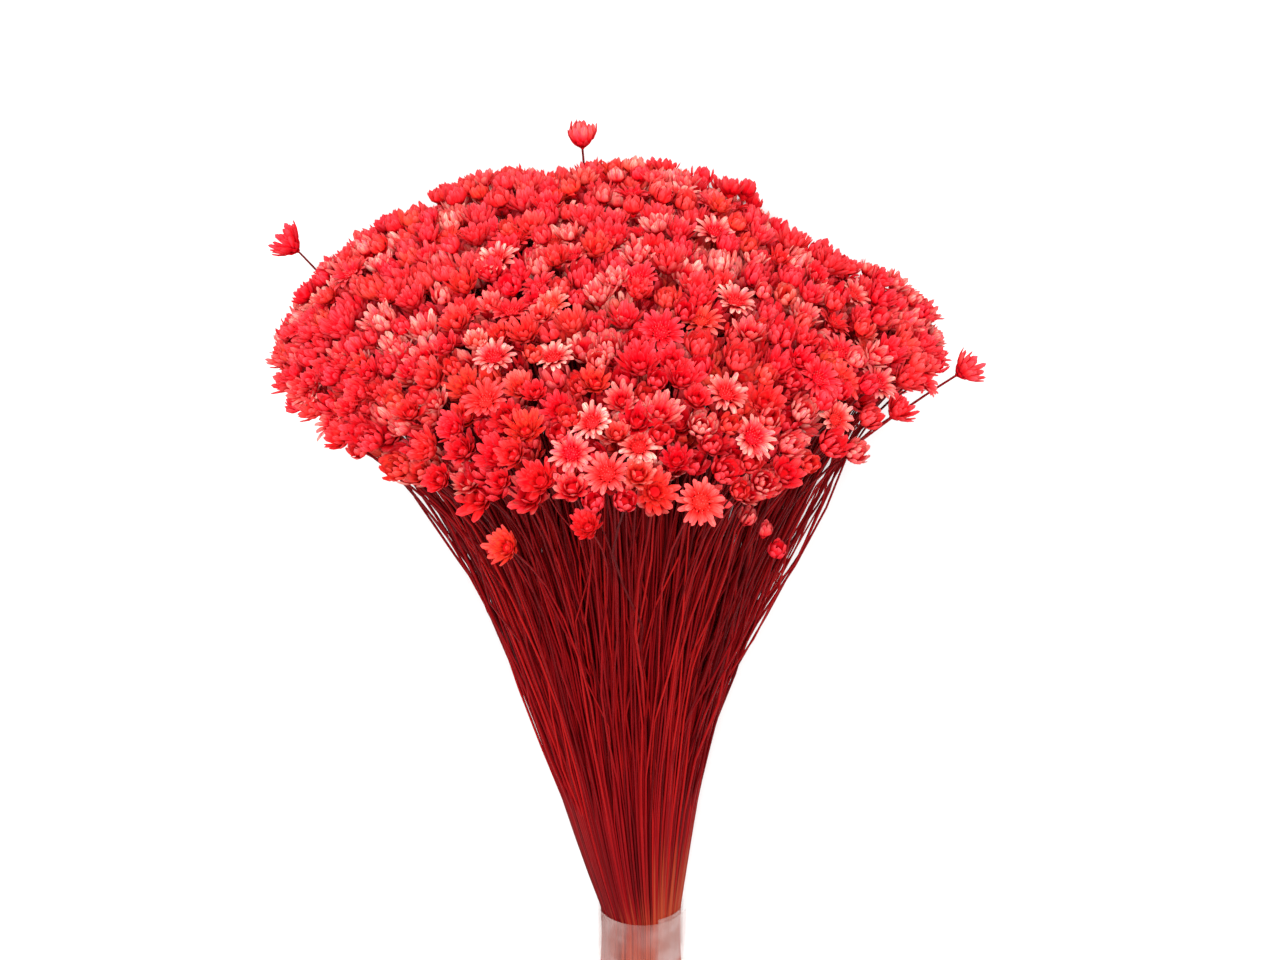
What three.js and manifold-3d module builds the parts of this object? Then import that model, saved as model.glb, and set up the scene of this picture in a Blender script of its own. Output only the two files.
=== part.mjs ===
import * as THREE from "three";
import { mergeVertices } from "three/addons/utils/BufferGeometryUtils.js";
import Module from "manifold-3d";

// A bunch of dried star flowers, dyed red and held by one band of clear tape, lying on its back.
// Sizes are in millimetres and angles in degrees.
// The bunch is laid out standing up: x to the right, y to the back and z along the stems, with
// zero at the upper edge of the tape. It is then laid down on z = 0, with the flowers towards +y.

const SEED = 172;
const FLOWERS = 312; // spread over the dome

// The dome that the flowers make is the upper half of a flattened ball.
const DOME = { radius: 77, rise: 47, height: 149, lean: -6.5, lowest: 89 };
const LUMPS = { height: 1.2, turns: [2, 3], starts: [0.6, -1.1] }; // how the dome swells and sinks
const DENT = { x: 50, y: 28, reach: 27, depth: 22 }; // the low place at the back right
const SADDLE = 4.6; // how much higher the rim is at the sides than at the front and the back
const LIFT = 2; // how far a flower stands above or below its neighbours
const LIFT_TURN = 0.625; // a lift leans outwards this much as fast as the dome does
const SHIFT = 0.8; // how far a flower lies off the even spread

// Single flowers that stand out of the dome or hang below it.
const LONE_FLOWERS = [
  { x: -15, y: 35, z: 202, kind: "bud" },
  { x: -86.5, y: 12, z: 182, kind: "cup" },
  { x: 79, y: -6, z: 155.5, kind: "cup" },
  { x: -31, y: -60, z: 132, kind: "cup" },
  { x: -12, y: -69, z: 141, kind: "cup" },
];

// Each flower: points of the petals and of the notches between them, as radius and height above
// the stem, and the height of the middle.
const KINDS = {
  bud: { petals: 5, tip: [2.6, 7.2], notch: [3.6, 4.6], middle: 5.8 },
  cup: { petals: 6, tip: [5.6, 6.4], notch: [4.1, 4.4], middle: 3.2 },
  open: { petals: 8, tip: [6.4, 4.8], notch: [3.9, 3.6], middle: 3.9 },
};
const BUD_SHARE = 0.26;
const OPEN_SHARE = 0.3;
const BEARING = 68; // the flowers further back than this bear the weight, and are half open
const FLOWER_SIZES = [0.86, 1.06];
const ROOM = 0.52; // how much of the way to its nearest neighbour a flower may fill
const NOD = 14; // how far a flower may turn off the line of its stem

const STEM = { radius: 0.44, sides: 3 };
const STEM_TILT = 57; // the outermost stems end this far off upright
const STEM_START = 14; // and leave the tape this far off upright
const BUNDLE_LEAN = -0.1; // while the whole bundle leaves it leaning to the left, by this slope
const STEM_STOPS = { outermost: [0.42, 0.76, 1], others: [0.56, 1] }; // where a stem bends

// The stems are gathered in sprigs, ring by ring. A sprig's stems are one foot up to its neck.
const SPRIG_RINGS = [4, 10, 18, 26];
const SPRIG_TURN = -1; // each ring of sprigs is turned this far on from the last, in radians
const SPRIG_GAP = 0.17; // half the gap between two feet
const RIBS = { count: 3, groove: 0.86 }; // the outermost feet are ribbed like the stems in them
const ROW_ROOM = 0.92; // which leaves their stems this much room
const NECK = 34; // how far above the tape a foot ends
const TIE_RADIUS = 11; // the bundle at the upper edge of the tape
const WAIST = { scale: 0.955, depth: 3 }; // the tape draws the bundle in to this share, this far down
const TAIL = { length: 55, flare: 1.14 }; // from the tape's upper edge to the cut ends
const TAPE = { width: 15, thickness: 0.6, gap: 0.3, sides: 28 };

// How it lies: the tilt of the stems, and how far soft pieces stay off the surface.
const LAY = { tilt: 17, stemHeight: 1.2, flowerHeight: 3.1, softness: 3, press: 0.35 };
const FLOOR_BLOCK = 600;
const NUDGE = 0.01; // the share of a stem over which its direction is taken

const wasm = await Module();
wasm.setup();

const { degToRad: rad, lerp, euclideanModulo: wrap } = THREE.MathUtils;
const GOLDEN_TURN = Math.PI * (3 - Math.sqrt(5));
const STEM_RING = Array(STEM.sides).fill([STEM.radius, 0]);
const layTurn = new THREE.Matrix4().makeRotationX(rad(LAY.tilt - 90));
const tieHeight = TAIL.length * Math.sin(rad(LAY.tilt)) - LAY.press
  + TIE_RADIUS * TAIL.flare * Math.cos(rad(LAY.tilt));

// A repeatable draw from 0 to 1, for one flower and one purpose.
function draw(flower, purpose) {
  const wave = Math.sin(flower * 12.9898 + purpose * 78.233 + SEED) * 43758.5453;
  return wave - Math.floor(wave);
}

// The angle from the top at which the dome has this share of its area.
function domeAngle(share) {
  const stretch = Math.sqrt(DOME.radius ** 2 - DOME.rise ** 2);
  const area = (x) => x * Math.hypot(DOME.rise, stretch * x)
    + (DOME.rise ** 2 / stretch) * Math.asinh((stretch * x) / DOME.rise);
  let low = Math.cos(rad(DOME.lowest));
  let high = 1;
  const wanted = area(1) - share * (area(1) - area(low));
  for (let n = 0; n < 40; n++) {
    const middle = (low + high) / 2;
    if (area(middle) > wanted) high = middle;
    else low = middle;
  }
  return Math.acos((low + high) / 2);
}

function domePoint(angle, turn, lift) {
  const side = Math.sin(angle);
  const [wave, ripple] = LUMPS.turns.map((turns, n) => turns * turn + LUMPS.starts[n]);
  const lump = LUMPS.height * side * (Math.sin(wave) + Math.cos(ripple - 2 * angle));
  const x = (DOME.radius + lump) * side * Math.cos(turn);
  const y = (DOME.radius + lump) * side * Math.sin(turn);
  const away = Math.hypot(x - DENT.x, y - DENT.y) / DENT.reach;
  const up = lift + lump - DENT.depth * Math.exp(-(away ** 4));
  return new THREE.Vector3(
    DOME.lean + x + lift * side * Math.cos(turn),
    y + lift * side * Math.sin(turn),
    DOME.height + DOME.rise * Math.cos(angle) + SADDLE * side ** 4 * Math.cos(turn) ** 2
      + up * Math.cos(angle * LIFT_TURN),
  );
}

// A stem's curve, from its root to the flower.
function stemCurve(root, along, end, endTilt) {
  const run = root.distanceTo(end);
  const away = new THREE.Vector3(end.x - DOME.lean / 2, end.y, 0).normalize();
  const finish = away.multiplyScalar(run * Math.sin(endTilt)).setZ(run * Math.cos(endTilt));
  return { root, end, start: along.clone().multiplyScalar(run), finish };
}

// Lays a point of the standing bunch down and keeps it off the surface, the more so near a flower.
function layDown(point, t = 0) {
  const laid = point.clone().applyMatrix4(layTurn);
  laid.z += tieHeight;
  if (t > 0) {
    const lowest = lerp(LAY.stemHeight, LAY.flowerHeight, t ** 3);
    laid.z = lowest + LAY.softness * Math.log1p(Math.exp((laid.z - lowest) / LAY.softness));
  }
  return laid;
}

function standingPoint(stem, t) {
  return stem.root.clone().multiplyScalar(2 * t ** 3 - 3 * t ** 2 + 1)
    .addScaledVector(stem.start, t ** 3 - 2 * t ** 2 + t)
    .addScaledVector(stem.end, 3 * t ** 2 - 2 * t ** 3)
    .addScaledVector(stem.finish, t ** 3 - t ** 2);
}

const stemPoint = (stem, t) => layDown(standingPoint(stem, t), t);

const tiePoint = (radius, turn) =>
  new THREE.Vector3(radius * Math.cos(turn), radius * Math.sin(turn), 0);

const tiltAt = (angle) => rad(STEM_TILT) * (angle / (Math.PI / 2));

// A place in a sprig's foot at the tie, from 0 to 1 outwards and from -0.5 to 0.5 across.
function footPlace({ ring, middle, part }, outwards, across) {
  const step = TIE_RADIUS / SPRIG_RINGS.length;
  const inner = ring * step + (ring === 0 ? 2 : 1) * SPRIG_GAP;
  const radius = lerp(inner, (ring + 1) * step - SPRIG_GAP, outwards);
  return tiePoint(radius, middle + across * (part - (2 * SPRIG_GAP) / radius));
}

// Where a stem from this place in the tie comes through the neck, and which way it runs there.
function atNeck(place) {
  const outwards = place.length() / TIE_RADIUS;
  const tilt = rad(STEM_START) * outwards;
  const along = place.clone().normalize().multiplyScalar(Math.sin(tilt)).setZ(Math.cos(tilt));
  along.x += BUNDLE_LEAN;
  const angle = domeAngle(outwards ** 2);
  const end = domePoint(angle, Math.atan2(place.y, place.x), 0);
  const stem = stemCurve(place, along, end, tiltAt(angle));
  let t = NECK / end.z;
  for (let n = 0; n < 6; n++) t *= NECK / standingPoint(stem, t).z;
  const point = standingPoint(stem, t);
  return { point, along: standingPoint(stem, t + NUDGE).sub(point).normalize() };
}

function kindFor(number, end) {
  const pick = draw(number, 4);
  if (end.y > BEARING) return "cup";
  if (pick < BUD_SHARE) return "bud";
  return pick < BUD_SHARE + OPEN_SHARE ? "open" : "cup";
}

// Where each flower is to be, and the place of its stem in the tie. The lone flowers are taken
// from the places on the dome that are nearest to them.
function flowerPlaces() {
  const places = [];
  for (let number = 0; number < FLOWERS; number++) {
    const share = (number + 0.5) / FLOWERS;
    const angle = domeAngle(share) + (SHIFT / DOME.radius) * (2 * draw(number, 1) - 1);
    const aside = (SHIFT / DOME.radius / Math.sin(angle)) * (2 * draw(number, 2) - 1);
    const turn = number * GOLDEN_TURN + aside;
    const end = domePoint(Math.abs(angle), turn, LIFT * (2 * draw(number, 3) - 1));
    places.push({ number, share, turn, end, endTilt: tiltAt(angle), kind: kindFor(number, end) });
  }
  for (const { x, y, z, kind } of LONE_FLOWERS) {
    const end = new THREE.Vector3(x, y, z);
    const far = (place) => place.end.distanceTo(end);
    const nearest = places.reduce((best, place) => (far(place) < far(best) ? place : best));
    Object.assign(nearest, { end, kind });
  }
  return places;
}

const isOutermost = (sprig) => sprig.ring === SPRIG_RINGS.length - 1;

// Sorts the flowers into sprigs, each a part of a ring about a middle turn.
function makeSprigs(places) {
  const rings = SPRIG_RINGS.map((count, ring) => Array.from({ length: count }, (_, n) => {
    const part = (2 * Math.PI) / count;
    return { ring, part, middle: (n + 0.5) * part + ring * SPRIG_TURN, flowers: [] };
  }));
  for (const place of places) {
    const ring = Math.floor(Math.sqrt(place.share) * rings.length);
    const turned = wrap(place.turn - ring * SPRIG_TURN, 2 * Math.PI);
    rings[ring][Math.floor(turned / rings[ring][0].part)].flowers.push(place);
  }
  return rings.flat();
}

// Gives each stem of a sprig its place in the foot, row by row and in order across each row.
function placeRoots(sprig) {
  const { ring, middle, flowers } = sprig;
  const rows = flowers.length > 6 && !isOutermost(sprig) ? 3 : 2;
  const shareBefore = (row) => ((ring + row / rows) ** 2 - ring ** 2) / (2 * ring + 1);
  const before = (row) => Math.round(flowers.length * shareBefore(row));
  const aside = ({ end }) =>
    wrap(Math.atan2(end.y, end.x - DOME.lean) - middle + Math.PI, 2 * Math.PI);
  for (let row = 0; row < rows; row++) {
    const outwards = ((row + 0.5) / rows) * (isOutermost(sprig) ? ROW_ROOM : 1);
    const members = flowers.slice(before(row), before(row + 1)).sort((a, b) => aside(a) - aside(b));
    members.forEach((flower, n) => {
      flower.root = footPlace(sprig, outwards, (n + 0.5) / members.length - 0.5);
    });
  }
}

// Two directions square to an axis and to each other.
function squareTo(axis) {
  const across = new THREE.Vector3(1, 0, 0).cross(axis).normalize();
  return [across, axis.clone().cross(across)];
}

// A flower on its stem, nodding a little to one side.
function makeFlower({ number, root, end, endTilt, kind }) {
  const { point, along } = atNeck(root);
  const stem = stemCurve(point, along, end, endTilt);
  const base = stemPoint(stem, 1);
  const axis = base.clone().sub(stemPoint(stem, 1 - NUDGE)).normalize();
  const hinge = squareTo(axis)[0].applyAxisAngle(axis, 2 * Math.PI * draw(number, 5));
  axis.applyAxisAngle(hinge, rad(NOD) * draw(number, 6));
  const size = lerp(...FLOWER_SIZES, draw(number, 7));
  return { stem, base, axis, kind, size, spin: 2 * Math.PI * draw(number, 8) };
}

// Keeps each flower small enough for the room around it.
function fitSizes(flowers) {
  const hearts = flowers.map(({ base, axis, kind }) =>
    base.clone().addScaledVector(axis, KINDS[kind].middle));
  flowers.forEach((flower, n) => {
    const gaps = hearts.map((heart, other) => (other === n ? Infinity : heart.distanceTo(hearts[n])));
    const { tip, notch } = KINDS[flower.kind];
    flower.size = Math.min(flower.size, (ROOM * Math.min(...gaps)) / Math.max(tip[0], notch[0]));
  });
}

// Joins two rings of corners, given by number and anticlockwise when looking back from the second.
function stitch(faces, lower, upper) {
  let [i, j] = [0, 0];
  while (i < lower.length || j < upper.length) {
    const [from, to] = [lower[i % lower.length], upper[j % upper.length]];
    if (j === upper.length || (i + 1) * upper.length <= (j + 1) * lower.length) {
      faces.push(from, lower[(i + 1) % lower.length], to);
      i++;
    } else {
      faces.push(from, upper[(j + 1) % upper.length], to);
      j++;
    }
  }
}

// Closes a ring of corners with a point over its middle.
function closeRing(faces, ring, point) {
  ring.forEach((corner, n) => faces.push(corner, ring[(n + 1) % ring.length], point));
}

// Fills an outline that lies level, apart from the holes in it.
function fillLevel(faces, corners, outline, holes, upwards) {
  const numbers = [outline, ...holes].flat();
  const places = (ring) => ring.map((corner) => corners[corner]);
  const filled = THREE.ShapeUtils.triangulateShape(places(outline), holes.map(places));
  for (const found of filled) {
    const face = found.map((n) => numbers[n]);
    if (THREE.ShapeUtils.area(places(face)) > 0 !== upwards) face.reverse();
    faces.push(...face);
  }
}

function solid(positions, faces) {
  const [vertProperties, triVerts] = [new Float32Array(positions), new Uint32Array(faces)];
  return new wasm.Manifold(new wasm.Mesh({ numProp: 3, vertProperties, triVerts }));
}

// A ring of points about a centre, square to an axis.
function ringAbout(centre, axis, spin, places) {
  const [across, other] = squareTo(axis);
  return places.map(([radius, height], n) => {
    const turn = spin + (2 * Math.PI * n) / places.length;
    return centre.clone().addScaledVector(axis, height)
      .addScaledVector(across, radius * Math.cos(turn))
      .addScaledVector(other, radius * Math.sin(turn));
  });
}

// The outline of a foot at the tie, and for the outermost feet with a rib for each stem in sight.
function footOutline(sprig) {
  const outline = [footPlace(sprig, 0, 0.5), footPlace(sprig, 0, -0.5)];
  const steps = isOutermost(sprig) ? 2 * RIBS.count : 2;
  for (let n = 0; n <= steps; n++) {
    const outwards = isOutermost(sprig) && n % 2 === 0 ? RIBS.groove : 1;
    outline.push(footPlace(sprig, outwards, n / steps - 0.5));
  }
  return outline;
}

// A sprig: its foot from the cut ends to the neck, and from there each stem with its flower.
function sprigSolid(sprig) {
  const corners = [];
  const faces = [];
  const add = (points) => points.map((point) => corners.push(point) - 1);
  const outline = footOutline(sprig);
  const level = (scale, z) => add(outline.map((p) => p.clone().multiplyScalar(scale).setZ(z)));
  const cut = level(TAIL.flare, -TAIL.length);
  const waist = level(WAIST.scale, -WAIST.depth);
  const neck = add(outline.map((place) => atNeck(place).point));
  const up = new THREE.Vector3(0, 0, 1);
  const begins = sprig.flowers.map(({ stem, spin }) => add(ringAbout(stem.root, up, spin, STEM_RING)));
  stitch(faces, cut, waist);
  stitch(faces, waist, neck);
  fillLevel(faces, corners, cut, [], false);
  fillLevel(faces, corners, neck, begins, true);
  corners.forEach((corner) => corner.copy(layDown(corner)));
  sprig.flowers.forEach(({ stem, base, axis, kind, size, spin }, n) => {
    const { petals, tip, notch, middle } = KINDS[kind];
    let last = begins[n];
    for (const t of isOutermost(sprig) ? STEM_STOPS.outermost : STEM_STOPS.others) {
      const along = stemPoint(stem, t + NUDGE).sub(stemPoint(stem, t - NUDGE)).normalize();
      const next = add(ringAbout(stemPoint(stem, t), along, spin, STEM_RING));
      stitch(faces, last, next);
      last = next;
    }
    const star = Array(petals).fill([tip, notch]).flat().map(([r, z]) => [r * size, z * size]);
    const petalRing = add(ringAbout(base, axis, spin, star));
    const heart = add([base.clone().addScaledVector(axis, middle * size)]);
    stitch(faces, last, petalRing);
    closeRing(faces, petalRing, ...heart);
  });
  return solid(corners.flatMap((corner) => corner.toArray()), faces);
}

// What lies under the surface is cut away, which leaves the small flats that the bunch rests on.
function floorSolid() {
  const box = new THREE.BoxGeometry(FLOOR_BLOCK, FLOOR_BLOCK, FLOOR_BLOCK);
  box.deleteAttribute("uv").deleteAttribute("normal").translate(0, 0, -FLOOR_BLOCK / 2);
  const closed = mergeVertices(box);
  return solid(closed.getAttribute("position").array, closed.index.array);
}

function sprigMesh(shape, name) {
  const { vertProperties, triVerts } = shape.getMesh();
  const geometry = new THREE.BufferGeometry();
  geometry.setAttribute("position", new THREE.BufferAttribute(vertProperties, 3));
  geometry.setIndex(new THREE.BufferAttribute(triVerts, 1));
  geometry.computeVertexNormals();
  const flowerRed = new THREE.MeshStandardMaterial({ color: 0xe0262b, roughness: 0.7 });
  const mesh = new THREE.Mesh(geometry, flowerRed);
  mesh.name = name;
  return mesh;
}

function tapeMesh() {
  const inner = TIE_RADIUS + TAPE.gap;
  const outer = inner + TAPE.thickness;
  const bottom = [[inner, -TAPE.width], [outer, -TAPE.width]];
  const profile = [...bottom, [outer, 0], [inner, 0], bottom[0]];
  const band = new THREE.LatheGeometry(profile.map((p) => new THREE.Vector2(...p)), TAPE.sides);
  const clear = { color: 0xe0b4a8, roughness: 0.25, transparent: true, opacity: 0.5 };
  const mesh = new THREE.Mesh(band, new THREE.MeshStandardMaterial(clear));
  mesh.name = "tape_band";
  mesh.rotation.x = rad(LAY.tilt);
  mesh.position.z = tieHeight;
  return mesh;
}

const sprigs = makeSprigs(flowerPlaces());
for (const sprig of sprigs) {
  placeRoots(sprig);
  sprig.flowers = sprig.flowers.map(makeFlower);
}
fitSizes(sprigs.flatMap((sprig) => sprig.flowers));

const bunch = new THREE.Group();
const floor = floorSolid();
sprigs.forEach((sprig, n) => {
  const name = "sprig_" + String(n + 1).padStart(2, "0");
  bunch.add(sprigMesh(sprigSolid(sprig).subtract(floor), name));
});
bunch.add(tapeMesh());

// The origin is the middle of the patch of surface that the bunch covers.
const covers = new THREE.Box3().setFromObject(bunch, true);
const middle = covers.getCenter(new THREE.Vector3());
bunch.position.set(-middle.x, -middle.y, -covers.min.z);

export default bunch;
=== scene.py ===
import math

import bpy
import numpy as np
from mathutils import Matrix, Vector


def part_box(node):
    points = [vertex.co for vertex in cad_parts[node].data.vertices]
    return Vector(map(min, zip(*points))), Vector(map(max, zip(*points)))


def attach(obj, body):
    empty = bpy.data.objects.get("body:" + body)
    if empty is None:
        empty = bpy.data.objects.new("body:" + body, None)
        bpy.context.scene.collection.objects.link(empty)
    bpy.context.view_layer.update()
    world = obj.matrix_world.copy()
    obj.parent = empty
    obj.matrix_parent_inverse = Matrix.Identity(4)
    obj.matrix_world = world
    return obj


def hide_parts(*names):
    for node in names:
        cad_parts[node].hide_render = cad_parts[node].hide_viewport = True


# A bunch of dried star flowers, dyed red and held by a turn of clear tape, lying on its back.
# The bunch is worked out standing up and in millimetres (x right, y back, z along the stems, zero at
# the upper edge of the tape), then laid down into the frame and scaled to metres.

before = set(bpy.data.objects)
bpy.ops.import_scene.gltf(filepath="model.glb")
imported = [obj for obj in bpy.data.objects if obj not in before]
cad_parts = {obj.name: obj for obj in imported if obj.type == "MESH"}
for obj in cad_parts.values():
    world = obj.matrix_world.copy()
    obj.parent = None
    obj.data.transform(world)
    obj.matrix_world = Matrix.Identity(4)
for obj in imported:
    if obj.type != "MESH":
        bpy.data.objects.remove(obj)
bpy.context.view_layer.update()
scene = bpy.context.scene
mm = 0.001

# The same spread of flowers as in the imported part
bunch = dict(
    seed=172,
    flowers=312,
    domeRadius=77, domeRise=47, domeHeight=149, domeLean=-6.5, domeLowest=89,
    lumpHeight=1.2, lumpTurns=(2, 3), lumpStarts=(0.6, -1.1),
    dentX=50, dentY=28, dentReach=27, dentDepth=22, saddle=4.6,
    lift=2, liftTurn=0.625, shift=0.8,
    budShare=0.26, openShare=0.3, bearing=68,
    sizes=dict(open=(0.84, 1.12), cup=(0.72, 1.0), bud=(0.78, 1.02)), room=0.58, nod=16,
    stemTilt=57, stemStart=14, bundleLean=-0.1, neck=34,
    tieRadius=11, rings=(4, 10, 18, 26), ringTurn=-1, gap=0.17,
    waistScale=0.955, waistDepth=3, tailLength=55, tailFlare=1.14,
    tilt=17, stemHeight=1.2, flowerHeight=3.1, softness=3, press=0.35,
    tapeWidth=15,
)
loneFlowers = [
    (-15, 35, 202, "bud"), (-86.5, 12, 182, "cup"), (79, -6, 155.5, "cup"),
    (-31, -60, 132, "cup"), (-12, -69, 141, "cup"),
]
goldenTurn = math.pi * (3 - math.sqrt(5))
hearts = dict(bud=5.8, cup=3.2, open=3.9)  # height of the middle of a flower
reach = dict(bud=3.6, cup=5.6, open=6.4)  # and its radius
tilt = math.radians(bunch["tilt"])
stemWay = np.array([0, math.cos(tilt), math.sin(tilt)])  # the way the stems run, laid down
tieHeight = (bunch["tailLength"] * math.sin(tilt) - bunch["press"]
             + bunch["tieRadius"] * bunch["tailFlare"] * math.cos(tilt))
tapeLow, tapeHigh = (np.array(corner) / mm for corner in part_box("tape_band"))
tiePoint = (tapeLow + tapeHigh) / 2 + stemWay * bunch["tapeWidth"] / 2
offset = tiePoint - (0, 0, tieHeight)


def draw(number, purpose):
    wave = math.sin(number * 12.9898 + purpose * 78.233 + bunch["seed"]) * 43758.5453
    return wave - math.floor(wave)


def between(low, high, share):
    return low + (high - low) * share


def unit(v):
    return v / np.linalg.norm(v)


def domeAngle(share):
    radius, rise = bunch["domeRadius"], bunch["domeRise"]
    stretch = math.sqrt(radius ** 2 - rise ** 2)

    def area(x):
        return x * math.hypot(rise, stretch * x) + rise ** 2 / stretch * math.asinh(stretch * x / rise)

    low, high = math.cos(math.radians(bunch["domeLowest"])), 1
    wanted = area(1) - share * (area(1) - area(low))
    for _ in range(40):
        middle = (low + high) / 2
        low, high = (low, middle) if area(middle) > wanted else (middle, high)
    return math.acos((low + high) / 2)


def domePoint(angle, turn, lift):
    side = math.sin(angle)
    wave, ripple = (n * turn + start for n, start in zip(bunch["lumpTurns"], bunch["lumpStarts"]))
    lump = bunch["lumpHeight"] * side * (math.sin(wave) + math.cos(ripple - 2 * angle))
    x = (bunch["domeRadius"] + lump) * side * math.cos(turn)
    y = (bunch["domeRadius"] + lump) * side * math.sin(turn)
    away = math.hypot(x - bunch["dentX"], y - bunch["dentY"]) / bunch["dentReach"]
    up = lift + lump - bunch["dentDepth"] * math.exp(-away ** 4)
    saddle = bunch["saddle"] * side ** 4 * math.cos(turn) ** 2
    return np.array([
        bunch["domeLean"] + x + lift * side * math.cos(turn),
        y + lift * side * math.sin(turn),
        bunch["domeHeight"] + bunch["domeRise"] * math.cos(angle) + saddle
        + up * math.cos(angle * bunch["liftTurn"]),
    ])


def stemCurve(root, along, end, endTilt):
    run = np.linalg.norm(root - end)
    away = unit(np.array([end[0] - bunch["domeLean"] / 2, end[1], 0]))
    finish = away * run * math.sin(endTilt) + np.array([0, 0, run * math.cos(endTilt)])
    return root, along * run, end, finish


def standingPoints(curve, t):
    root, start, end, finish = curve
    t = np.asarray(t, float)[:, None]
    return (root * (2 * t ** 3 - 3 * t ** 2 + 1) + start * (t ** 3 - 2 * t ** 2 + t)
            + end * (3 * t ** 2 - 2 * t ** 3) + finish * (t ** 3 - t ** 2))


# Lays standing points down, and keeps them off the surface, the more so near a flower
def layDown(points, t):
    turn = tilt - math.pi / 2
    laid = np.array(points, float)
    laid[:, 1] = points[:, 1] * math.cos(turn) - points[:, 2] * math.sin(turn)
    laid[:, 2] = points[:, 1] * math.sin(turn) + points[:, 2] * math.cos(turn) + tieHeight
    t = np.broadcast_to(t, len(laid))
    lowest = between(bunch["stemHeight"], bunch["flowerHeight"], t ** 3)
    soft = lowest + bunch["softness"] * np.logaddexp(0, (laid[:, 2] - lowest) / bunch["softness"])
    laid[:, 2] = np.where(t > 0, soft, laid[:, 2])
    return laid


def tiltAt(angle):
    return math.radians(bunch["stemTilt"]) * angle / (math.pi / 2)


# The curve that a stem from this place in the tie follows as far as the neck, and where it ends there
def footCurve(place):
    outwards = np.linalg.norm(place) / bunch["tieRadius"]
    lean = math.radians(bunch["stemStart"]) * outwards
    along = unit(place) * math.sin(lean) + np.array([bunch["bundleLean"], 0, math.cos(lean)])
    angle = domeAngle(outwards ** 2)
    end = domePoint(angle, math.atan2(place[1], place[0]), 0)
    curve = stemCurve(place, along, end, tiltAt(angle))
    t = bunch["neck"] / end[2]
    for _ in range(6):
        t *= bunch["neck"] / standingPoints(curve, [t])[0][2]
    point, beyond = standingPoints(curve, [t, t + 0.01])
    return curve, t, point, unit(beyond - point)


def footPlace(ring, middle, part, outwards, across):
    step = bunch["tieRadius"] / len(bunch["rings"])
    inner = ring * step + (2 if ring == 0 else 1) * bunch["gap"]
    radius = between(inner, (ring + 1) * step - bunch["gap"], outwards)
    turn = middle + across * (part - 2 * bunch["gap"] / radius)
    return np.array([radius * math.cos(turn), radius * math.sin(turn), 0])


def flowerKind(number, end):
    chance = draw(number, 4)
    if end[1] > bunch["bearing"] or chance >= bunch["budShare"] + bunch["openShare"]:
        return "cup"
    return "bud" if chance < bunch["budShare"] else "open"


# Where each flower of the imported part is
def partFlowers():
    flowers = []
    for number in range(bunch["flowers"]):
        share = (number + 0.5) / bunch["flowers"]
        loose = bunch["shift"] / bunch["domeRadius"]
        angle = domeAngle(share) + loose * (2 * draw(number, 1) - 1)
        turn = number * goldenTurn + loose / math.sin(angle) * (2 * draw(number, 2) - 1)
        end = domePoint(abs(angle), turn, bunch["lift"] * (2 * draw(number, 3) - 1))
        flowers.append(dict(number=number, share=share, turn=turn, end=end, endTilt=tiltAt(angle),
                            kind=flowerKind(number, end), filler=False))
    for *end, kind in loneFlowers:
        nearest = min(flowers, key=lambda flower: np.linalg.norm(flower["end"] - end))
        nearest.update(end=np.array(end, float), kind=kind, lone=True)
    return flowers


# Camera, above the bunch and looking down on it, in mm and degrees
view = dict(lean=6, distance=900, height=114.5, aside=-0.27, opening=16.39, pixels=(1280, 960))
lean = math.radians(view["lean"])
towards = Vector((0, math.sin(lean), math.cos(lean)))
upwards = Vector((0, math.cos(lean), -math.sin(lean)))
target = Vector(tiePoint) + upwards * view["height"] + Vector((view["aside"], 0, 0))
cameraData = bpy.data.cameras.new("camera")
cameraData.sensor_fit = "VERTICAL"
cameraData.angle = math.radians(view["opening"])
cameraData.clip_start = 0.01
camera = bpy.data.objects.new("camera", cameraData)
camera.matrix_world = Matrix.Translation((target + towards * view["distance"]) * mm) @ Matrix(
    (Vector((1, 0, 0)), upwards, towards)).transposed().to_4x4()
scene.collection.objects.link(camera)
scene.camera = camera


# Where a point is seen, in pixels across and down
def seenAt(point):
    away = Vector(point) - (target + towards * view["distance"])
    deep = -away.dot(towards)
    wide, high = view["pixels"]
    scale = high / 2 / math.tan(math.radians(view["opening"]) / 2) / deep
    return np.array([wide / 2 + away.x * scale, high / 2 - away.dot(upwards) * scale])


# Smaller flowers that fill the gaps, a little below the others
fillers = dict(
    count=3000, firstNumber=1000, turn=1.9, depth=(-2.4, 13), budShare=0.4, sizes=(0.82, 1.32),
    apart=5.1,  # from each other and from the main flowers, in mm
    knolls=[  # where the heads stand higher: pixels across and down, reach in pixels, height in mm
        (738, 190, 32, 6), (762, 200, 18, 5), (885, 285, 40, 2), (915, 310, 30, 3), (480, 180, 50, 3.5),
        (650, 160, 60, 2.5), (380, 225, 40, 1), (275, 350, 30, 2.5), (265, 385, 25, 3),
    ],
    closer=[(370, 400, 75), (330, 375, 50), (885, 350, 40)],  # pixels across and down, reach
    closerBy=0.72,
    open=[(880, 425, 38), (845, 455, 40), (905, 400, 22)],  # none here, so that the stems show
    low=[(30, -33, 123), (33, -29, 116), (25, -41, 130)],  # a few buds among the stems, in mm
    lowBud=dict(share=0.6, endTilt=0.3, kind="bud", filler=True, broader=0.8),
)


def near(place, spots):
    return any(math.hypot(place[0] - x, place[1] - y) < reachOf for x, y, reachOf in spots)


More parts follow.
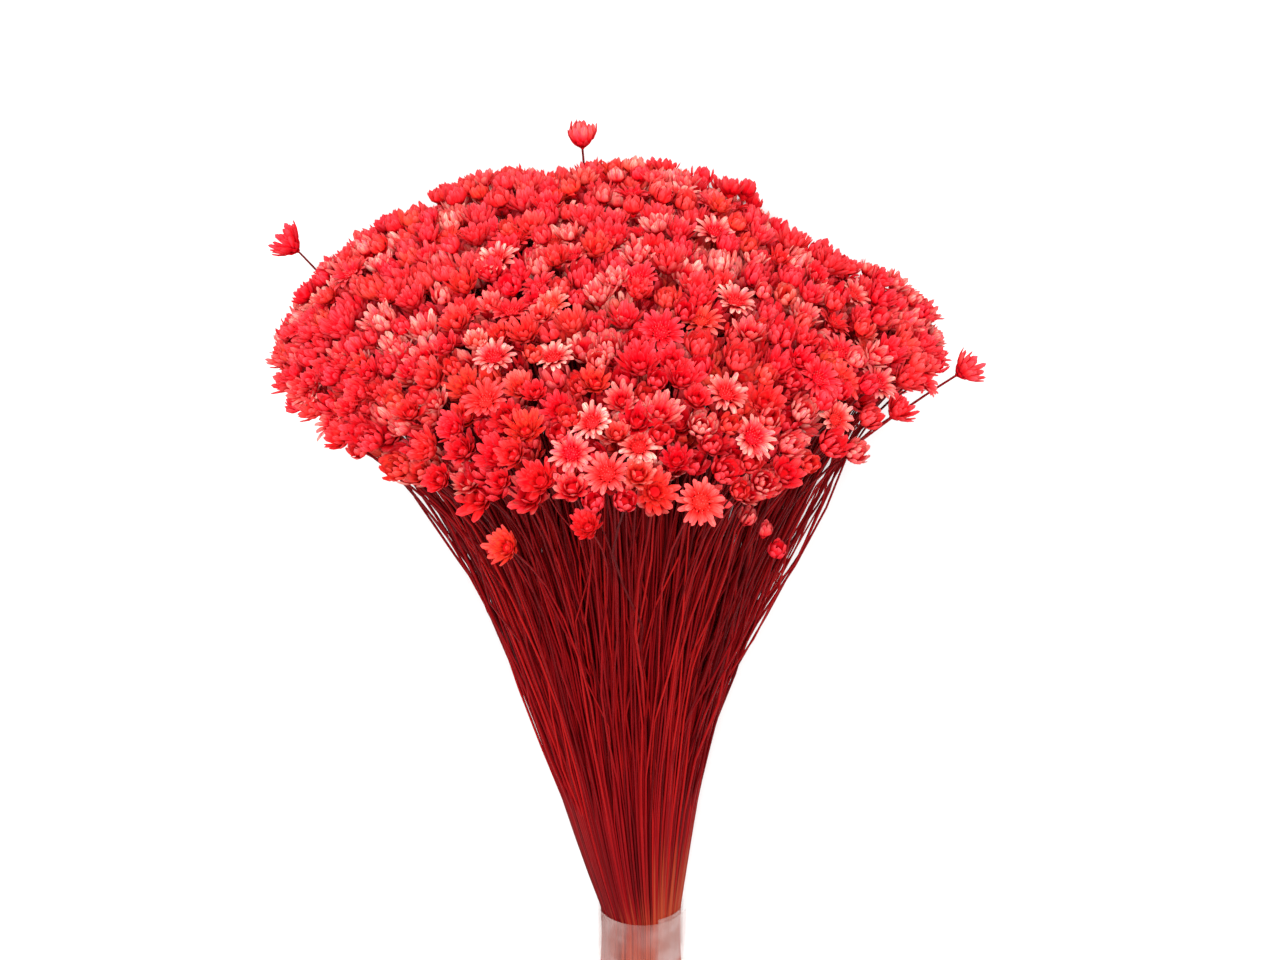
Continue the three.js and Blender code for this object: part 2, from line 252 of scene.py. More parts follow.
def fillerFlowers(flowers):
    taken = [flower["end"] for flower in flowers]
    found = []
    for n in range(fillers["count"]):
        number = fillers["firstNumber"] + n
        share = (n + 0.5) / fillers["count"]
        angle = domeAngle(share)
        turn = n * goldenTurn + fillers["turn"]
        place = seenAt(layDown(domePoint(angle, turn, 0)[None], 1)[0] + offset)
        heaped = max(height * math.exp(-((place[0] - x) ** 2 + (place[1] - y) ** 2) / wide ** 2)
                     for x, y, wide, height in fillers["knolls"])
        deep = draw(number, 3) ** 2
        end = domePoint(angle, turn, heaped - between(*fillers["depth"], deep))
        apart = fillers["apart"] * (fillers["closerBy"] if near(place, fillers["closer"]) else 1)
        if near(place, fillers["open"]) or min(np.linalg.norm(np.array(taken) - end, axis=1)) < apart:
            continue
        taken.append(end)
        kind = "bud" if draw(number, 4) < fillers["budShare"] else "cup"
        found.append(dict(number=number, share=share, turn=turn, end=end, endTilt=tiltAt(angle),
                          kind=kind, filler=True, broader=between(*fillers["sizes"], deep)))
    for n, end in enumerate(fillers["low"]):
        number = fillers["firstNumber"] + fillers["count"] + n
        turn = math.atan2(end[1], end[0]) % (2 * math.pi)
        found.append(dict(number=number, turn=turn, end=np.array(end, float), **fillers["lowBud"]))
    return found


def sortIntoSprigs(flowers):
    sprigs = []
    for ring, count in enumerate(bunch["rings"]):
        part = 2 * math.pi / count
        first = ring * bunch["ringTurn"]
        sprigs += [dict(ring=ring, part=part, middle=(n + 0.5) * part + first, flowers=[])
                   for n in range(count)]
    for flower in flowers:
        ring = int(math.sqrt(flower["share"]) * len(bunch["rings"]))
        turned = (flower["turn"] - ring * bunch["ringTurn"]) % (2 * math.pi)
        before = sum(bunch["rings"][:ring])
        sprigs[before + int(turned / (2 * math.pi / bunch["rings"][ring]))]["flowers"].append(flower)
    return sprigs


# Gives each stem of a sprig its place in the tie, row by row
def placeRoots(sprig, rows=3, loose=0.13):
    ring, middle = sprig["ring"], sprig["middle"]
    members = sorted(sprig["flowers"], key=lambda flower: flower["share"])
    before = [round(len(members) * ((ring + row / rows) ** 2 - ring ** 2) / (2 * ring + 1))
              for row in range(rows + 1)]

    def bearing(flower):
        x, y = flower["end"][:2]
        return (math.atan2(y, x - bunch["domeLean"]) - middle + math.pi) % (2 * math.pi)

    for row in range(rows):
        inRow = sorted(members[before[row]:before[row + 1]], key=bearing)
        for n, flower in enumerate(inRow):
            place = footPlace(ring, middle, sprig["part"], (row + 0.5) / rows, (n + 0.5) / len(inRow) - 0.5)
            number = flower["number"]
            aside = np.array([2 * draw(number, 11) - 1, 2 * draw(number, 12) - 1, 0])
            flower["root"] = place + loose * aside


def squareTo(axis):
    across = unit(np.cross([1, 0, 0], axis))
    return across, np.cross(axis, across)


def turnAbout(v, axis, angle):
    return np.array(Matrix.Rotation(angle, 3, Vector(axis)) @ Vector(v))


# Each flower's stem, and the place and direction of its head
def placeHead(flower):
    number = flower["number"]
    foot, footEnd, point, along = footCurve(flower["root"])
    stem = stemCurve(point, along, flower["end"], flower["endTilt"])
    ends = layDown(standingPoints(stem, [0.99, 1]), np.array([0.99, 1]))
    axis = unit(ends[1] - ends[0])
    hinge = turnAbout(squareTo(axis)[0], axis, 2 * math.pi * draw(number, 5))
    axis = turnAbout(axis, hinge, math.radians(bunch["nod"]) * draw(number, 6))
    flower.update(foot=foot, footEnd=footEnd, stem=stem, base=ends[1] + offset, axis=axis,
                  size=between(*bunch["sizes"][flower["kind"]], draw(number, 7)),
                  spin=2 * math.pi * draw(number, 8))


def fitSizes(flowers):
    middles = np.array([flower["base"] + flower["axis"] * hearts[flower["kind"]] for flower in flowers])
    for n, flower in enumerate(flowers):
        gaps = np.linalg.norm(middles - middles[n], axis=1)
        gaps[n] = np.inf
        flower["size"] = min(flower["size"], bunch["room"] * gaps.min() / reach[flower["kind"]])


mainFlowers = partFlowers()
allFlowers = mainFlowers + fillerFlowers(mainFlowers)
sprigs = sortIntoSprigs(allFlowers)
for sprig in sprigs:
    placeRoots(sprig)
for flower in allFlowers:
    placeHead(flower)
fitSizes(mainFlowers)
for flower in allFlowers:
    if flower["filler"]:
        flower["size"] *= flower["broader"]
print("flowers:", len(mainFlowers), "and", len(allFlowers) - len(mainFlowers), "fillers")


# Light
studio = dict(
    world=0.7,
    lights=[  # place in metres, size, watts
        ("overhead softbox", (-0.3, 0.5, 1.2), 0.8, 10),
        ("front light", (0.06, 0.1, 1.4), 0.35, 15),
    ],
    aim=(0, 0.02, 0.06),
)


def addLight(name, place, size, watts):
    data = bpy.data.lights.new(name, "AREA")
    data.shape = "DISK"
    data.size = size
    data.energy = watts
    light = bpy.data.objects.new(name, data)
    light.location = place
    light.rotation_euler = (Vector(studio["aim"]) - Vector(place)).to_track_quat("-Z", "Y").to_euler()
    scene.collection.objects.link(light)


for settings in studio["lights"]:
    addLight(*settings)
world = bpy.data.worlds.new("studio")
world.use_nodes = True
world.node_tree.nodes["Background"].inputs["Color"].default_value = (1, 1, 1, 1)
world.node_tree.nodes["Background"].inputs["Strength"].default_value = studio["world"]
scene.world = world
scene.view_settings.view_transform = "Standard"


# Materials. Each mesh carries where a point is on its petal or stem, and how it took the dye; on the stems
# that also holds painted shade, and on the tape painted highlight bands.
class Nodes:
    def __init__(self, name):
        self.material = bpy.data.materials.new(name)
        self.material.use_nodes = True
        self.tree = self.material.node_tree
        self.shader = self.tree.nodes["Principled BSDF"]

    def add(self, kind, settings=None, **inputs):
        node = self.tree.nodes.new(kind)
        for key, value in (settings or {}).items():
            setattr(node, key, value)
        for key, value in inputs.items():
            self.put(node.inputs[key.replace("_", " ")], value)
        return node

    def put(self, socket, value):
        if isinstance(value, bpy.types.NodeSocket):
            self.tree.links.new(value, socket)
        else:
            socket.default_value = value

    def math(self, operation, *values, clamp=False):
        node = self.add("ShaderNodeMath", dict(operation=operation, use_clamp=clamp))
        for socket, value in zip(node.inputs, values):
            self.put(socket, value)
        return node.outputs[0]

    def mix(self, share, first, second):
        node = self.add("ShaderNodeMix", dict(data_type="RGBA"))
        self.put(node.inputs[0], share)
        self.put(node.inputs[6], first)
        self.put(node.inputs[7], second)
        return node.outputs[2]

    def step(self, value, low, high):
        node = self.add("ShaderNodeMapRange", dict(interpolation_type="SMOOTHSTEP"))
        for socket, number in zip(node.inputs, (value, low, high)):
            self.put(socket, number)
        return node.outputs[0]

    def attribute(self, name):
        node = self.add("ShaderNodeAttribute", dict(attribute_name=name))
        parts = self.add("ShaderNodeSeparateXYZ", Vector=node.outputs["Vector"])
        return node.outputs["Vector"], parts.outputs

    def noise(self, where, scale, detail=2.0, roughness=0.5):
        return self.add("ShaderNodeTexNoise", Vector=where, Scale=scale, Detail=detail,
                        Roughness=roughness).outputs["Fac"]

    # Noise that is drawn out by another amount each way
    def streaks(self, where, stretch, scale, detail, roughness=0.5):
        node = self.add("ShaderNodeMapping", Vector=where)
        node.inputs["Scale"].default_value = stretch
        return self.noise(node.outputs["Vector"], scale, detail, roughness)

    def product(self, *values, clamp=False):
        return self.math("MULTIPLY", *values, clamp=clamp)

    # Adds a share of a value that lies round a half
    def sway(self, value, by, share):
        return self.math("ADD", value, self.product(self.math("SUBTRACT", by, 0.5), share))

    def bump(self, height, strength, distance):
        node = self.add("ShaderNodeBump", Height=height, Strength=strength, Distance=distance)
        self.tree.links.new(node.outputs["Normal"], self.shader.inputs["Normal"])

    def finish(self, colour, **constants):
        self.put(self.shader.inputs["Base Color"], colour)
        for key, value in constants.items():
            self.shader.inputs[key.replace("_", " ")].default_value = value
        return self.material


petalLook = dict(
    streaks=dict(stretch=(4.5, 0.9, 40), scale=2.2, detail=2, roughness=0.6),
    blotches=dict(stretch=(0.7, 1.3, 25), scale=2, detail=1),
    alongShare=0.25, edgeLoss=0.5, highlightShare=0.32,
    bumpStrength=0.35, bumpHeight=0.00025,
)
petalDye = dict(
    red=(0.78, 0.001, 0.009, 1),
    coral=(0.85, 0.032, 0.056, 1),
    orange=(0.86, 0.066, 0.024, 1),
    pale=(0.99, 0.67, 0.52, 1),
    pink=(0.96, 0.27, 0.33, 1),
    deep=(0.46, 0.001, 0.006, 1),
)


def petalMaterial():
    nodes = Nodes("dyed petal")
    spot, (across, along, _) = nodes.attribute("spot")
    _, (pale, warm, dark) = nodes.attribute("dye")
    streaks = nodes.streaks(spot, **petalLook["streaks"])
    blotches = nodes.streaks(spot, **petalLook["blotches"])
    blotched = nodes.math("ADD", blotches, nodes.product(along, petalLook["alongShare"]))
    colour = nodes.mix(nodes.step(blotched, 0.52, 1.0), petalDye["red"], petalDye["coral"])
    warmWhere = nodes.product(warm, nodes.step(blotches, 0.2, 0.75), clamp=True)
    colour = nodes.mix(warmWhere, colour, petalDye["orange"])
    # Pale towards the tip, in streaks, and less so at the rims
    paleWhere = nodes.product(nodes.step(along, 0.25, 0.85), nodes.step(streaks, 0.28, 0.6))
    rim = nodes.math("POWER", nodes.math("ABSOLUTE", across), 3)
    inside = nodes.math("SUBTRACT", 1, nodes.product(rim, petalLook["edgeLoss"]))
    paleWhere = nodes.product(nodes.product(paleWhere, inside), pale, clamp=True)
    paleColour = nodes.mix(nodes.step(blotches, 0.45, 0.7), petalDye["pale"], petalDye["pink"])
    # Painted highlight: pink towards the petal tips, in streaks
    paintedHighlight = nodes.product(nodes.step(along, 0.55, 1.1), nodes.step(streaks, 0.35, 0.7))
    colour = nodes.mix(nodes.product(paintedHighlight, petalLook["highlightShare"]), colour, petalDye["pink"])
    colour = nodes.mix(paleWhere, colour, paleColour)
    colour = nodes.mix(dark, colour, petalDye["deep"])
    nodes.bump(streaks, petalLook["bumpStrength"], petalLook["bumpHeight"])
    return nodes.finish(colour, Roughness=0.65, Specular_IOR_Level=0.025)


barkLook = dict(
    streaks=dict(stretch=(2.2, 0.35, 30), scale=2.5, detail=2, roughness=0.55),
    patches=dict(stretch=(0.4, 0.12, 30), scale=2, detail=1),
    streakShare=0.7, patchShare=0.8,
    bumpStrength=0.4, bumpHeight=0.0001,
)
stemDye = dict(
    dark=(0.075, 0.001, 0.002, 1),
    crimson=(0.21, 0.002, 0.004, 1),
    bright=(0.36, 0.006, 0.006, 1),
    bare=(0.36, 0.050, 0.020, 1),
    straw=(0.62, 0.36, 0.15, 1),
)


def stemMaterial():
    nodes = Nodes("dyed stem")
    spot, _ = nodes.attribute("spot")
    _, (tone, bare, cut) = nodes.attribute("dye")
    streaks = nodes.streaks(spot, **barkLook["streaks"])
    patches = nodes.streaks(spot, **barkLook["patches"])
    # The tone holds painted shade as well as each stem's own tone
    shade = nodes.sway(tone, streaks, barkLook["streakShare"])
    colour = nodes.mix(nodes.step(shade, 0, 0.5), stemDye["dark"], stemDye["crimson"])
    colour = nodes.mix(nodes.step(shade, 0.45, 1.05), colour, stemDye["bright"])
    worn = nodes.step(nodes.sway(bare, patches, barkLook["patchShare"]), 0.35, 0.9)
    colour = nodes.mix(worn, colour, stemDye["bare"])
    colour = nodes.mix(cut, colour, stemDye["straw"])
    nodes.bump(streaks, barkLook["bumpStrength"], barkLook["bumpHeight"])
    return nodes.finish(colour, Roughness=0.6, Specular_IOR_Level=0.06)


tapeLook = dict(
    reddish=(0.52, 0.25, 0.21, 1), milky=(0.66, 0.44, 0.41, 1),
    cloudScale=160, cloudShare=0.6,
    wrinkles=dict(stretch=(160, 45, 45), scale=1, detail=2),
    alpha=(0.1, 0.17),  # the least, and how much more in the painted highlight bands and the thicker cloud
    bumpStrength=0.15, bumpHeight=0.0004,
)


def tapeMaterial():
    nodes = Nodes("clear tape")
    where = nodes.add("ShaderNodeTexCoord").outputs["Object"]
    _, (away, _, _) = nodes.attribute("dye")
    cloud = nodes.noise(where, tapeLook["cloudScale"], 2)
    wrinkles = nodes.streaks(where, **tapeLook["wrinkles"])
    colour = nodes.mix(nodes.step(cloud, 0.3, 0.7), tapeLook["reddish"], tapeLook["milky"])
    # Painted highlight: the tape is made more opaque, so milkier, in the bands that away holds, and where
    # the cloud is thick
    cloudAndHighlight = nodes.step(nodes.math("ADD", away, nodes.product(cloud, tapeLook["cloudShare"])), 0.4, 1.2)
    least, more = tapeLook["alpha"]
    nodes.put(nodes.shader.inputs["Alpha"], nodes.math("ADD", least, nodes.product(cloudAndHighlight, more)))
    nodes.bump(wrinkles, tapeLook["bumpStrength"], tapeLook["bumpHeight"])
    return nodes.finish(colour, Roughness=0.2, Coat_Weight=0.5, Coat_Roughness=0.1)


petalFinish, stemFinish, tapeFinish = petalMaterial(), stemMaterial(), tapeMaterial()
print("materials made")


# A growing mesh: corners, faces, which corners lie on a sharp rim, and the two attributes
class Shape:
    def __init__(self):
        self.corners, self.faces, self.rims, self.spots, self.dyes = [], [], [], [], []
        self.count = 0

    def add(self, corners, faces, rims, spots, dyes):
        self.corners.append(corners)
        self.faces += [[corner + self.count for corner in face] for face in faces]
        self.rims.append(np.broadcast_to(rims, len(corners)))
        self.spots.append(np.broadcast_to(spots, (len(corners), 3)))
        self.dyes.append(np.broadcast_to(dyes, (len(corners), 3)))
        self.count += len(corners)


# Soft things that reach the surface are pressed flat against it
def pressOnFloor(corners, height=1.1):
    low = corners[:, 2] < height
    corners[low, 2] = height * np.exp((corners[low, 2] - height) / height)
    return corners


def makePiece(name, shape, material):
    corners = pressOnFloor(np.concatenate(shape.corners)) * mm
    mesh = bpy.data.meshes.new(name)
    mesh.from_pydata(corners.tolist(), [], shape.faces)
    mesh.update()
    for key, values in (("spot", shape.spots), ("dye", shape.dyes)):
        attribute = mesh.attributes.new(key, "FLOAT_VECTOR", "POINT")
        attribute.data.foreach_set("vector", np.concatenate(values).astype(np.float32).ravel())
    rim = np.concatenate(shape.rims)
    edges = np.empty(len(mesh.edges) * 2, np.int32)
    mesh.edges.foreach_get("vertices", edges)
    sharp = rim[edges[::2]] & rim[edges[1::2]]
    mesh.attributes.new("sharp_edge", "BOOLEAN", "EDGE").data.foreach_set("value", sharp)
    mesh.shade_smooth()
    mesh.materials.append(material)
    piece = bpy.data.objects.new(name, mesh)
    scene.collection.objects.link(piece)
    return piece


# Heads. Each whorl is a ring of petals: start, bend and tip as (radius, height) above the stem,
# half a petal's width, how pointed and how pale it is, and how many steps long.
def petalRing(count, start, bend, tip, **looks):
    return dict(count=count, start=start, bend=bend, tip=tip, **looks)


headShapes = dict(
    open=[
        petalRing(9, (1.0, 0.2), (2.4, 0.8), (3.2, 2.8), wide=0.85, pointed=1, dark=0.4, pale=0.1, long=3),
        petalRing(15, (2.0, 2.1), (3.4, 4.4), (6.4, 4.2), wide=0.82, pointed=0, pale=1, long=4),
        petalRing(11, (1.9, 2.5), (3.0, 5.0), (5.7, 5.4), wide=0.78, pointed=0, pale=0.9, long=4),
        petalRing(12, (1.8, 2.8), (2.4, 4.2), (3.2, 4.5), wide=0.36, pointed=0.7, pale=0.15, long=3),
    ],
    cup=[
        petalRing(8, (0.9, 0.2), (2.4, 0.8), (3.1, 3.0), wide=0.85, pointed=1, dark=0.4, pale=0.1, long=3),
        petalRing(11, (1.6, 1.2), (4.1, 2.4), (5.6, 5.6), wide=1.0, pointed=0.1, pale=1, long=4),
        petalRing(10, (1.5, 1.7), (3.5, 3.1), (4.4, 6.5), wide=0.95, pointed=0.15, pale=0.8, long=4),
        petalRing(8, (1.2, 2.0), (2.7, 3.9), (2.3, 6.2), wide=0.85, pointed=0.3, pale=0.4, long=3),
    ],
    bud=[
        petalRing(8, (0.9, 0.2), (2.8, 0.9), (3.2, 3.2), wide=0.9, pointed=0.9, dark=0.3, pale=0.2, long=3),
        petalRing(10, (1.4, 1.0), (4.7, 2.7), (3.7, 6.1), wide=1.1, pointed=0.1, pale=0.9, long=4),
        petalRing(8, (1.2, 1.6), (4.1, 4.1), (2.4, 6.9), wide=1.05, pointed=0.15, pale=1, long=4),
        petalRing(5, (0.9, 2.0), (2.8, 4.9), (0.9, 7.0), wide=1.0, pointed=0.3, pale=0.8, long=3),
    ],
)
# The heads of the fillers
lowerHeads = dict(
    cup=[
        petalRing(8, (1.6, 1.2), (4.2, 2.4), (5.3, 5.6), wide=1.3, pointed=0, pale=1, long=3),
        petalRing(7, (1.5, 1.7), (3.6, 3.2), (4.0, 6.5), wide=1.25, pointed=0, pale=0.8, long=3),
        petalRing(4, (1.2, 2.0), (2.8, 4.0), (1.7, 6.3), wide=1.3, pointed=0.2, pale=0.4, long=3),
    ],
    bud=[
        petalRing(7, (1.4, 1.0), (4.7, 2.8), (3.3, 6.2), wide=1.45, pointed=0, pale=0.9, long=3),
        petalRing(5, (1.2, 1.6), (4.1, 4.4), (1.4, 7.0), wide=1.5, pointed=0.1, pale=1, long=3),
    ],
)
petal = dict(
    thick=0.09,  # half of it, in mm
    hollow=0.28,  # how far the rims stand above the middle, to its half width
    whorlTurn=2.4,  # from one whorl to the next, in radians
    darkFoot=(0.6, 0.3),  # how dark, and how far along
    loose=dict(turn=0.15, tipOut=0.12, tipUp=0.6, sway=0.45, twist=0.4, wide=0.12, long=0.1, pale=0.5),
)
roundWidths = {3: [0.7, 1, 0.74], 4: [0.55, 0.9, 1, 0.72]}
pointedWidths = {3: [0.9, 1, 0.5], 4: [0.75, 1, 0.85, 0.4]}
stations = {3: [0, 0.45, 0.86], 4: [0, 0.33, 0.67, 0.92]}


# The faces of one petal: its foot, four sides along it, and its point
def petalFaces(long):
    faces = [[3, 2, 1, 0]]
    for ring in range(long - 1):
        for side in range(4):
            a, b = 4 * ring + side, 4 * ring + (side + 1) % 4
            faces.append([a, b, b + 4, a + 4])
    last = 4 * (long - 1)
    return faces + [[last + side, last + (side + 1) % 4, 4 * long] for side in range(4)]


# One whorl of petals, each bent and twisted a little in its own way
def addPetals(shape, place, whorl, rng, pale, warm, spin):
    count, long = whorl["count"], whorl["long"]
    loose = petal["loose"]
    t = np.array(stations[long] + [1.0])
    wild = rng.uniform(-1, 1, (8, count, 1))
    start, bend, tip = (np.array(whorl[key], float) for key in ("start", "bend", "tip"))
    stretched = 1 + loose["long"] * wild[0]
    tipOut = tip[0] * (1 + loose["tipOut"] * wild[1]) * stretched
    tipUp = (tip[1] + loose["tipUp"] * wild[2]) * stretched
    bendOut, bendUp = bend[0] * stretched, bend[1] * stretched
    out = (1 - t) ** 2 * start[0] + 2 * t * (1 - t) * bendOut + t ** 2 * tipOut
    up = (1 - t) ** 2 * start[1] + 2 * t * (1 - t) * bendUp + t ** 2 * tipUp
    slopeOut = 2 * (1 - t) * (bendOut - start[0]) + 2 * t * (tipOut - bendOut)
    slopeUp = 2 * (1 - t) * (bendUp - start[1]) + 2 * t * (tipUp - bendUp)
    size = np.hypot(slopeOut, slopeUp)
    normalOut, normalUp = -slopeUp / size, slopeOut / size
    widths = between(np.array(roundWidths[long]), np.array(pointedWidths[long]), whorl["pointed"])
    half = whorl["wide"] * widths * (1 + loose["wide"] * wild[3])
    thick = np.broadcast_to(petal["thick"] * (1.5 - t[:-1]), half.shape)
    hollow = petal["hollow"] * half
    zero = np.zeros_like(half)
    aside = np.stack([-half, zero, half, zero], -1)  # left rim, underside, right rim, upper side
    above = np.stack([hollow, -thick, hollow, thick], -1)
    twist = loose["twist"] * wild[4][..., None] * t[None, :-1, None]
    aside, above = (aside * np.cos(twist) - above * np.sin(twist),
                    aside * np.sin(twist) + above * np.cos(twist))
    sway = loose["sway"] * wild[5] * t ** 2
    aside = aside + sway[:, :-1, None]
    ringOut = out[:, :-1, None] + normalOut[:, :-1, None] * above
    ringUp = up[:, :-1, None] + normalUp[:, :-1, None] * above
    turn = spin + (np.arange(count)[:, None] + loose["turn"] * wild[6]) * 2 * math.pi / count
    allOut = np.concatenate([ringOut.reshape(count, -1), out[:, -1:]], 1)
    allUp = np.concatenate([ringUp.reshape(count, -1), up[:, -1:]], 1)
    allAside = np.concatenate([aside.reshape(count, -1), sway[:, -1:]], 1)
    corners = np.stack([
        allOut * np.cos(turn) - allAside * np.sin(turn),
        allOut * np.sin(turn) + allAside * np.cos(turn),
        allUp,
    ], -1).reshape(-1, 3)
    perPetal = 4 * long + 1
    oneFace = petalFaces(long)
    faces = [[corner + n * perPetal for corner in face] for n in range(count) for face in oneFace]
    rims = np.tile([True, False] * (2 * long) + [True], count)
    spots = np.zeros((count, perPetal, 3))
    spots[:, :-1, 0] = np.tile([-1, 0, 1, 0], long)
    spots[:, :-1, 1] = np.repeat(t[:-1], 4)
    spots[:, -1, 1] = 1
    spots[:, :, 2] = rng.uniform(0, 1, (count, 1))
    dyes = np.zeros((count, perPetal, 3))
    dyes[:, :, 0] = np.clip(pale * whorl["pale"] * (1 + loose["pale"] * wild[7]), 0, 1)
    dyes[:, :, 1] = warm
    dark = whorl.get("dark", 0)
    darkest, footLong = petal["darkFoot"]
    dyes[:, :, 2] = np.clip(dark + (darkest - dark) * (1 - spots[:, :, 1] / footLong), dark, 1)
    shape.add(place(corners), faces, rims, spots.reshape(-1, 3), dyes.reshape(-1, 3))


# A body of revolution, closed at both ends by a point
def addTurned(shape, place, profile, sides, spin, dye):
    turn = spin + 2 * math.pi * np.arange(sides) / sides
    rings = [[(r * math.cos(a), r * math.sin(a), z) for a in turn] for r, z in profile[1:-1]]
    foot, top = ((0, 0, z) for _, z in (profile[0], profile[-1]))
    corners = [foot, *(corner for ring in rings for corner in ring), top]
    faces = []
    last = len(rings) - 1
    for side in range(sides):
        beside = (side + 1) % sides
        faces.append([0, 1 + beside, 1 + side])
        for ring in range(last):
            low, high = 1 + ring * sides, 1 + (ring + 1) * sides
            faces.append([low + side, low + beside, high + beside, high + side])
        faces.append([1 + last * sides + side, 1 + last * sides + beside, len(corners) - 1])
    spots = np.zeros((len(corners), 3))
    spots[:, 0] = np.linspace(-1, 1, len(corners))
    spots[:, 1] = 0.3
    shape.add(place(np.array(corners, float)), faces, False, spots, dye)


calyx = dict(profile=[(0, -0.5), (0.42, -0.4), (1.2, 0.5), (1.9, 1.6), (1.9, 2.2), (0, 2.6)], sides=8,
             dye=(0, 0.2, 0.5))
disc = dict(profile=[(0, 2.0), (2.2, 2.6), (2.1, 3.5), (0, 3.9)], sides=10, dark=0.2)
floret = dict(count=27, radius=2.1, half=0.24, tall=0.8, lean=0.25, height=3.7, fall=0.17,
              footDye=(0.05, 0.3), tipDye=(0.2, 0))  # pale and dark


# The small florets in the middle of an open flower
def addFlorets(shape, place, rng, warm):
    for n in range(floret["count"]):
        radius = floret["radius"] * math.sqrt((n + 0.5) / floret["count"])
        turn = n * goldenTurn
        centre = np.array([radius * math.cos(turn), radius * math.sin(turn),
                           floret["height"] - floret["fall"] * radius])
        half = floret["half"] * rng.uniform(0.8, 1.2)
        tall = floret["tall"] * rng.uniform(0.7, 1.1)
        tip = centre + (centre[0] * floret["lean"], centre[1] * floret["lean"], tall)
        square = [centre + half * np.array([math.cos(turn + a), math.sin(turn + a), 0])
                  for a in (0, math.pi / 2, math.pi, 3 * math.pi / 2)]
        faces = [[3, 2, 1, 0]] + [[side, (side + 1) % 4, 4] for side in range(4)]
        spots = [(0, 0.4, n / floret["count"])] * 4 + [(0, 1, n / floret["count"])]
        foot, top = ((pale, warm, dark) for pale, dark in (floret["footDye"], floret["tipDye"]))
        shape.add(place(np.array(square + [tip])), faces, False, spots, [foot] * 4 + [top])


# Flowers whose colour stands out, by where they are seen in the view: pixels across and down, paleness
# and warmth. An open flower is taken before a cup or bud that is a little nearer.
pick = dict(reach=32, notOpen=14, facing=0.1)
dyeLook = dict(palest=dict(open=0.9, cup=0.75, bud=0.6), paleShare=0.36, otherwise=0.12)
standOuts = [
    (583, 305, 1.0, 0.1), (560, 345, 0.95, 0.2), (605, 405, 1.0, 0.2), (657, 470, 0.85, 0.3),
    (785, 360, 1.0, 0.1), (540, 320, 0.35, 0.95), (405, 365, 0.9, 0.0), (392, 380, 0.8, 0.0),
    (500, 285, 0.7, 0.2), (745, 300, 0.7, 0.2), (690, 425, 0.75, 0.1), (740, 400, 0.6, 0.2),
    (500, 375, 0.6, 0.1), (435, 205, 0.6, 0.1), (580, 215, 0.5, 0.6), (665, 215, 0.6, 0.3),
    (800, 465, 0.6, 0.6), (600, 490, 0.75, 0.3), (840, 300, 0.5, 0.3), (350, 320, 0.7, 0.1),
    (450, 400, 0.7, 0.1), (525, 460, 0.5, 0.9), (700, 250, 0.6, 0.0), (545, 270, 0.5, 0.5),
    (880, 345, 0.4, 0.7), (500, 548, 0.05, 1.0), (588, 530, 0.0, 0.3), (515, 208, 0.7, 0.2),
    (366, 362, 0.8, 0.0), (700, 500, 0.15, 0.5), (612, 510, 0.2, 0.3), (720, 275, 0.6, 0.2),
    (800, 215, 0.4, 0.2), (480, 500, 0.1, 0.8), (915, 300, 0.5, 0.8),
]


def giveDyes():
    for flower in allFlowers:
        number = flower["number"]
        palest = dyeLook["palest"][flower["kind"]]
        paleness = 1 if draw(number, 21) < dyeLook["paleShare"] else dyeLook["otherwise"]
        flower["pale"] = palest * draw(number, 23) * paleness
        flower["warm"] = draw(number, 22) ** 4
    seen = [(flower, seenAt(flower["base"]), 0 if flower["kind"] == "open" else pick["notOpen"])
            for flower in mainFlowers if flower["axis"] @ np.array(towards) > pick["facing"]]
    for x, y, pale, warm in standOuts:
        apart, n = min((np.hypot(*(place - (x, y))) + more, n) for n, (_, place, more) in enumerate(seen))
        if apart < pick["reach"]:
            seen[n][0].update(pale=pale, warm=warm)


def addHead(shape, flower):
    number, kind = flower["number"], flower["kind"]
    rng = np.random.default_rng(number + 1)
    axis, size = flower["axis"], flower["size"]
    across, other = squareTo(axis)
    turned = np.stack([across, other, axis]) * size

    def place(corners):
        return corners @ turned + flower["base"]

    pale, warm, spin = flower["pale"], flower["warm"], flower["spin"]
    shapes = lowerHeads if flower["filler"] else headShapes
    for n, whorl in enumerate(shapes[kind]):
        addPetals(shape, place, whorl, rng, pale, warm, spin + n * petal["whorlTurn"])
    addTurned(shape, place, calyx["profile"], calyx["sides"], spin, calyx["dye"])
    if kind == "open":
        addTurned(shape, place, disc["profile"], disc["sides"], spin, (0, warm, disc["dark"]))
        addFlorets(shape, place, rng, warm)


# Stems, from the cut ends through the tape and up to the heads
stemLook = dict(
    radius=0.36, thinner=0.27, sides=5, thickness=(0.7, 1.2),
    shorter=5.5,  # the cut ends differ by this much
    wave=2.0, waveTurns=(0.8, 1.9), waveShare=(0.2, 0.8), stray=2.8, strayShare=0.3,
    bow=(0.5, 8), bowShare=(0.4, 1.2), loneBow=-6,  # outwards, at the left and at the right
    # footShade, shaded and darkest paint shade into the stems: low down on the left, and below each head
    tufts=1.2, tuftShare=0.3, brightness=1.15, footShade=0.55,
    shaded=55, darkest=0.45,  # the length below a head that lies in its shade
    bareHeight=46, bareAbove=(0.15, 0.9), bareBelow=(0.3, 0.75), bareShare=(0.6, 1.1),
    cutPale=0.8,
)
tailSteps = [0, 0.6, 0.85, 1]
footSteps = [0.33, 0.66, 1]
stemSteps = [0.12, 0.25, 0.38, 0.51, 0.64, 0.76, 0.86, 0.94, 1]


